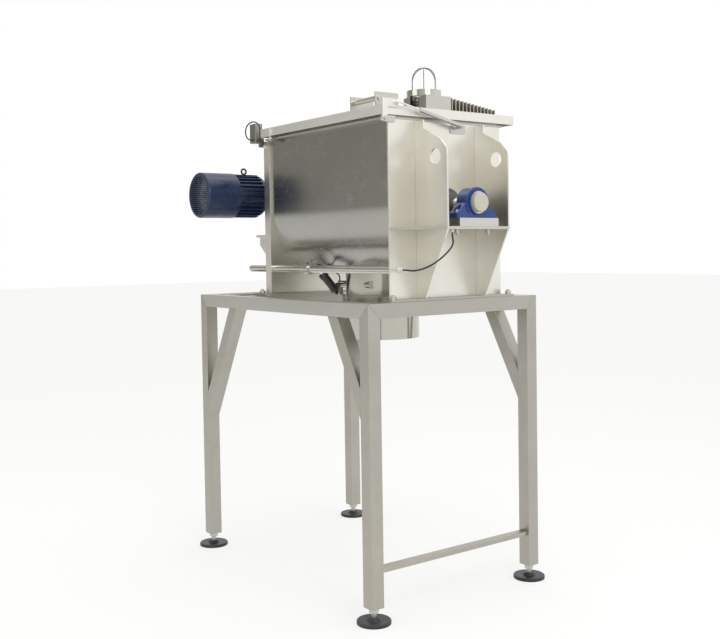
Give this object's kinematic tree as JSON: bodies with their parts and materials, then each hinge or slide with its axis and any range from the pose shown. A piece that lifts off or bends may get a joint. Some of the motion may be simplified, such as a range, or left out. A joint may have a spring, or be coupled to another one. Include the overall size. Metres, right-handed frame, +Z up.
{
  "type": "ribbon blender",
  "caption": "Stainless ribbon blender on a tall tube platform: U-shaped trough, geared side drive, hinged lid with gas spring, and a bottom discharge valve.",
  "frame": {"origin": "on the floor, under the centre of the machine's bounding box", "axes": "+Z up; +X along the trough from the drive end to the bearing end; -Y is the hinge and motor side"},
  "size_m": [1.614, 1.077, 2.274],
  "materials": {
    "platform_steel": "ground stainless square tube, matt",
    "brushed_stainless": "brushed stainless sheet, satin",
    "bright_stainless": "smooth stainless, brighter than the sheet",
    "drive_blue": "dark blue paint, semi-gloss",
    "bearing_blue": "bright blue paint, gloss",
    "cap_cream": "cream moulded plastic",
    "pad_black": "black moulded foot",
    "seal_rubber": "pale food-grade seal",
    "switch_black": "black moulded switch body",
    "fan_cover_blue": "dark blue pressed sheet",
    "cylinder_black": "black satin tube",
    "rod_chrome": "polished rod",
    "fasteners": "plain stainless fasteners",
    "line_black": "black cable and hose",
    "fitting_grey": "pale moulded gland",
    "seal_housing_grey": "grey seal housing"
  },
  "bodies": {
    "machine": {"platform_leg_near": "platform_steel", "platform_leg_left": "platform_steel", "platform_leg_right": "platform_steel", "platform_leg_back": "platform_steel", "platform_beam_front": "platform_steel", "platform_beam_rear": "platform_steel", "platform_beam_motor_end": "platform_steel", "platform_beam_bearing_end": "platform_steel", "platform_cross_beams": "platform_steel", "platform_braces": "platform_steel", "foot_pads": "pad_black", "foot_stems": "fasteners", "trough_shell": "brushed_stainless", "end_plate_bearing": "brushed_stainless", "end_plate_motor": "brushed_stainless", "bearing_wings": "brushed_stainless", "bearing_shelf": "brushed_stainless", "base_plates": "brushed_stainless", "tie_tubes": "bright_stainless", "trough_rim": "brushed_stainless", "rim_seal": "seal_rubber", "gearbox_bracket": "brushed_stainless", "gearbox_housing": "drive_blue", "gearbox_adaptor": "drive_blue", "motor_body": "drive_blue", "motor_fan_cover": "fan_cover_blue", "motor_terminal_box": "drive_blue", "bearing_spacer": "bright_stainless", "bearing_housing": "bearing_blue", "bearing_insert": "bright_stainless", "bearing_cap": "cap_cream", "fixing_bolts": "fasteners", "shaft_seals": "seal_housing_grey", "discharge_spout": "brushed_stainless", "discharge_sleeve": "brushed_stainless", "valve_bracket": "brushed_stainless", "hinge_lugs": "brushed_stainless", "limit_switch": "switch_black", "line_fittings": "fitting_grey", "bearing_cable": "line_black", "switch_cable": "line_black", "air_hose_lower": "line_black", "air_hose_upper": "line_black"},
    "agitator": {"agitator_shaft": "bright_stainless", "agitator_arms": "bright_stainless", "outer_ribbons": "bright_stainless", "inner_ribbons": "bright_stainless"},
    "rotor": {"motor_rotor": "bright_stainless"},
    "lid": {"lid_shell": "brushed_stainless", "lid_hinge_arms": "brushed_stainless", "vent_collar": "brushed_stainless", "vent_cage": "brushed_stainless", "feed_grate": "brushed_stainless", "lid_bracket": "brushed_stainless"},
    "spring_tube": {"gas_spring_tube": "cylinder_black"},
    "spring_rod": {"gas_spring_rod": "rod_chrome"},
    "valve": {"valve_door": "bright_stainless", "valve_crank": "bright_stainless"},
    "valve_rod": {"valve_rod": "rod_chrome"},
    "valve_cylinder": {"valve_cylinder": "cylinder_black"}
  },
  "joints": [
    {"name": "agitator_spin", "type": "hinge", "parent": "machine", "child": "agitator", "pos_m": [0.123, 0.0285, 1.68], "axis": [1, 0, 0], "continuous": true},
    {"name": "motor_spin", "type": "hinge", "parent": "machine", "child": "rotor", "pos_m": [-0.577, -0.2715, 1.77], "axis": [0, 1, 0], "continuous": true},
    {"name": "lid_hinge", "type": "hinge", "parent": "machine", "child": "lid", "pos_m": [0.604, -0.3095, 2.021], "axis": [1, 0, 0], "range_deg": [0, 70]},
    {"name": "gas_spring_swing", "type": "hinge", "parent": "machine", "child": "spring_tube", "pos_m": [0.627, 0.0885, 2.008], "axis": [1, 0, 0], "range_deg": [0, 1.64]},
    {"name": "gas_spring_slide", "type": "slide", "parent": "spring_tube", "child": "spring_rod", "axis": [0, -0.9742, 0.2257], "range_m": [0, 0.09962]},
    {"name": "valve_turn", "type": "hinge", "parent": "machine", "child": "valve", "pos_m": [0.123, -0.1015, 1.336], "axis": [-1, 0, 0], "range_deg": [0, 75]},
    {"name": "valve_rod_swing", "type": "hinge", "parent": "machine", "child": "valve_rod", "pos_m": [-0.044, -0.2335, 1.44], "axis": [-1, 0, 0], "range_deg": [0, 3.35]},
    {"name": "valve_cylinder_slide", "type": "slide", "parent": "valve_rod", "child": "valve_cylinder", "axis": [0, -0.6757, 0.7372], "range_m": [0, 0.04782]}
  ],
  "couplings": [
    {"joint": "motor_spin", "follows": "agitator_spin", "ratio": 30},
    {"joint": "gas_spring_swing", "follows": "lid_hinge", "ratio": 0.022927},
    {"joint": "gas_spring_slide", "follows": "lid_hinge", "m_per_rad": 0.081377},
    {"joint": "valve_rod_swing", "follows": "valve_turn", "ratio": 0.043742},
    {"joint": "valve_cylinder_slide", "follows": "valve_turn", "m_per_rad": 0.036456}
  ]
}
